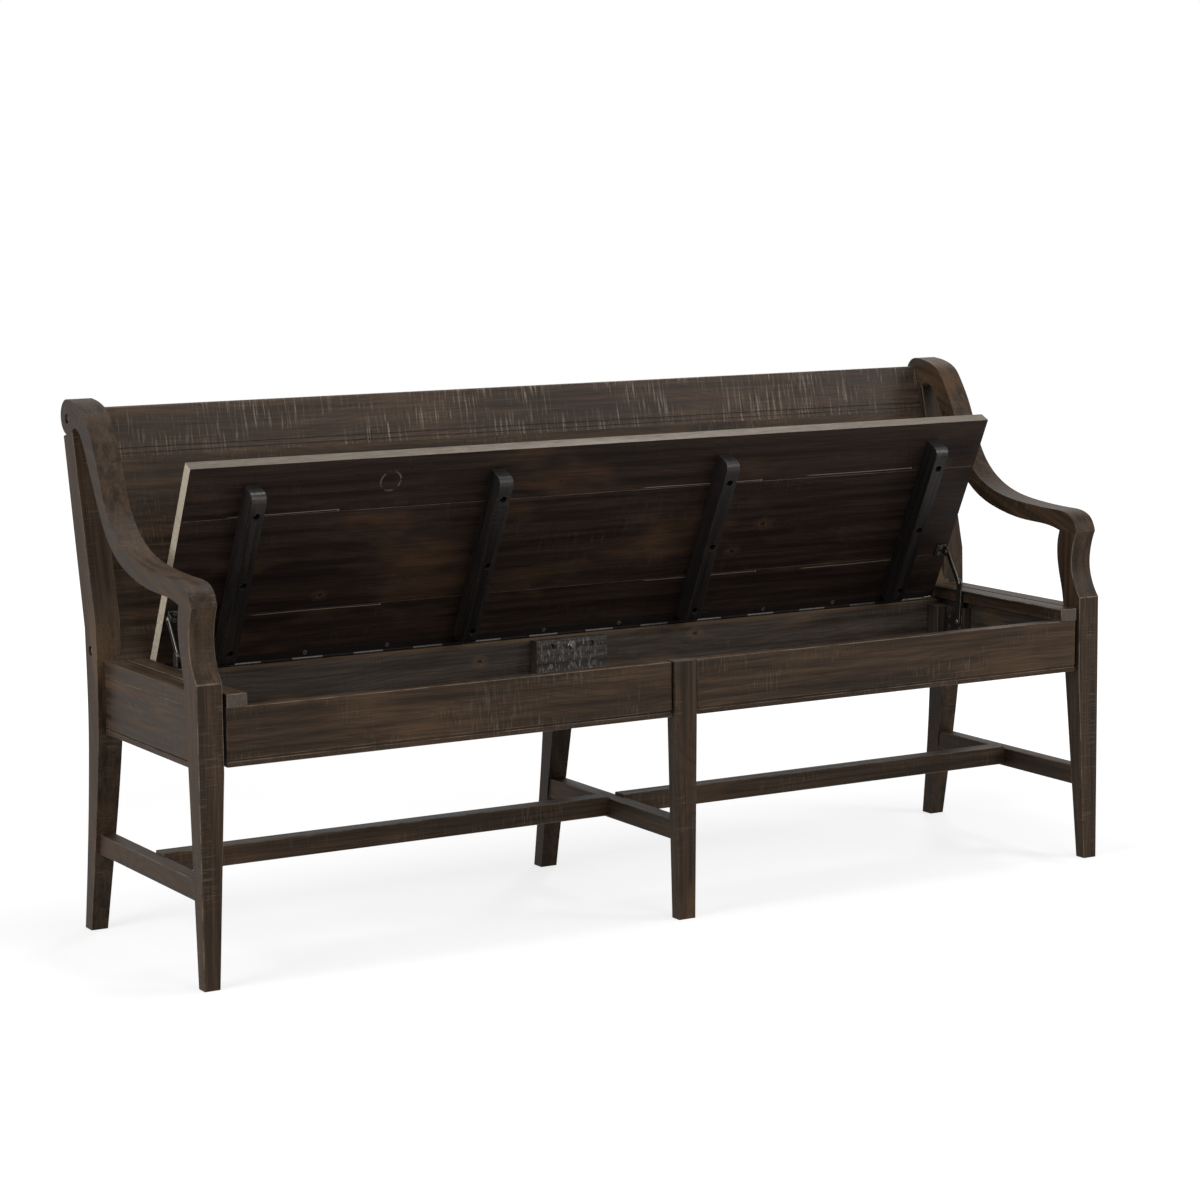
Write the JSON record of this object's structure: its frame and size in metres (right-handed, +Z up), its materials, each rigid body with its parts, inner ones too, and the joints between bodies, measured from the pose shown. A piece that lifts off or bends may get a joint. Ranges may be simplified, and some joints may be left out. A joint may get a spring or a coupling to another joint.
{
  "type": "settle bench",
  "caption": "Dark stained settle bench: raked back, swept scroll arms, splayed legs with stretchers, and a storage box under a hinged lid held open by folding stays.",
  "frame": {"origin": "on the floor under the middle of the bench's overall box", "axes": "+X to the right seen from the front, +Y to the rear, +Z up; the bench is longest along X"},
  "size_m": [1.83, 0.5515, 0.9155],
  "materials": {
    "frame_wood": "dark brown stained sawn softwood, satin, worn light at the edges",
    "box_wood": "brown stained sawn softwood, dull inside the box",
    "lid_wood": "very dark red brown stained boards with knots, tan at the cut ends",
    "batten_wood": "near black satin",
    "hinge_steel": "dark grey steel strip, dull",
    "stay_steel": "dark bronze steel, satin",
    "screw_steel": "dull zinc"
  },
  "bodies": {
    "frame": {"arm_left": "frame_wood", "arm_right": "frame_wood", "back_batten": "box_wood", "back_plank_1": "frame_wood", "back_plank_2": "frame_wood", "back_plank_3": "frame_wood", "back_plank_4": "frame_wood", "back_top_rail": "frame_wood", "bottom_cleats": "box_wood", "bottom_panels": "box_wood", "box_end_left": "box_wood", "box_end_right": "box_wood", "box_hardware_screws": "screw_steel", "centre_block_front": "box_wood", "centre_block_rear": "box_wood", "centre_leg_front": "frame_wood", "centre_leg_rear": "frame_wood", "centre_stretcher": "frame_wood", "corner_blocks": "box_wood", "frame_bolts": "screw_steel", "frame_screws": "screw_steel", "front_apron_left": "frame_wood", "front_apron_right": "frame_wood", "front_post_left": "frame_wood", "front_post_right": "frame_wood", "hinge_box_leaf": "hinge_steel", "hinge_pin": "hinge_steel", "long_stretcher_left": "frame_wood", "long_stretcher_right": "frame_wood", "rear_apron": "box_wood", "rear_post_left": "frame_wood", "rear_post_right": "frame_wood", "seat_strip_left": "frame_wood", "seat_strip_right": "frame_wood", "side_apron_left": "frame_wood", "side_apron_right": "frame_wood", "side_cap_left": "frame_wood", "side_cap_right": "frame_wood", "side_stretcher_left": "frame_wood", "side_stretcher_right": "frame_wood", "stay_blocks": "box_wood", "stay_foot_plates": "stay_steel", "stay_foot_rivets": "screw_steel"},
    "lid": {"hinge_lid_leaf": "hinge_steel", "lid_batten_1": "batten_wood", "lid_batten_2": "batten_wood", "lid_batten_3": "batten_wood", "lid_batten_4": "batten_wood", "lid_batten_screws": "screw_steel", "lid_board_front": "lid_wood", "lid_board_middle": "lid_wood", "lid_board_rear": "lid_wood", "lid_hardware_screws": "screw_steel", "stay_ear_rivets": "screw_steel", "stay_lid_ears": "stay_steel"},
    "stay_arm_left": {"stay_lower_arm_left": "stay_steel"},
    "stay_link_left": {"stay_upper_link_left": "stay_steel"},
    "stay_arm_right": {"stay_lower_arm_right": "stay_steel"},
    "stay_link_right": {"stay_upper_link_right": "stay_steel"}
  },
  "joints": [
    {"name": "lid_hinge", "type": "hinge", "parent": "frame", "child": "lid", "pos_m": [0, 0.12025, 0.455], "axis": [1, 0, 0], "range_deg": [0, 64.3]},
    {"name": "stay_arm_left_pivot", "type": "hinge", "parent": "frame", "child": "stay_arm_left", "pos_m": [-0.81975, 0.03625, 0.418], "axis": [1, 0, 0], "range_deg": [-0.5, 101]},
    {"name": "stay_link_left_pivot", "type": "hinge", "parent": "lid", "child": "stay_link_left", "pos_m": [-0.81675, 0.06688, 0.55251], "axis": [1, 0, 0], "range_deg": [-75.2, 0.5]},
    {"name": "stay_arm_right_pivot", "type": "hinge", "parent": "frame", "child": "stay_arm_right", "pos_m": [0.81975, 0.03625, 0.418], "axis": [1, 0, 0], "range_deg": [-0.5, 101]},
    {"name": "stay_link_right_pivot", "type": "hinge", "parent": "lid", "child": "stay_link_right", "pos_m": [0.81675, 0.06688, 0.55251], "axis": [1, 0, 0], "range_deg": [-75.2, 0.5]}
  ],
  "couplings": [
    {"joint": "stay_arm_left_pivot", "follows": "lid_hinge", "ratio": 1.5629},
    {"joint": "stay_link_left_pivot", "follows": "lid_hinge", "ratio": -1.1614},
    {"joint": "stay_arm_right_pivot", "follows": "lid_hinge", "ratio": 1.5629},
    {"joint": "stay_link_right_pivot", "follows": "lid_hinge", "ratio": -1.1614}
  ]
}
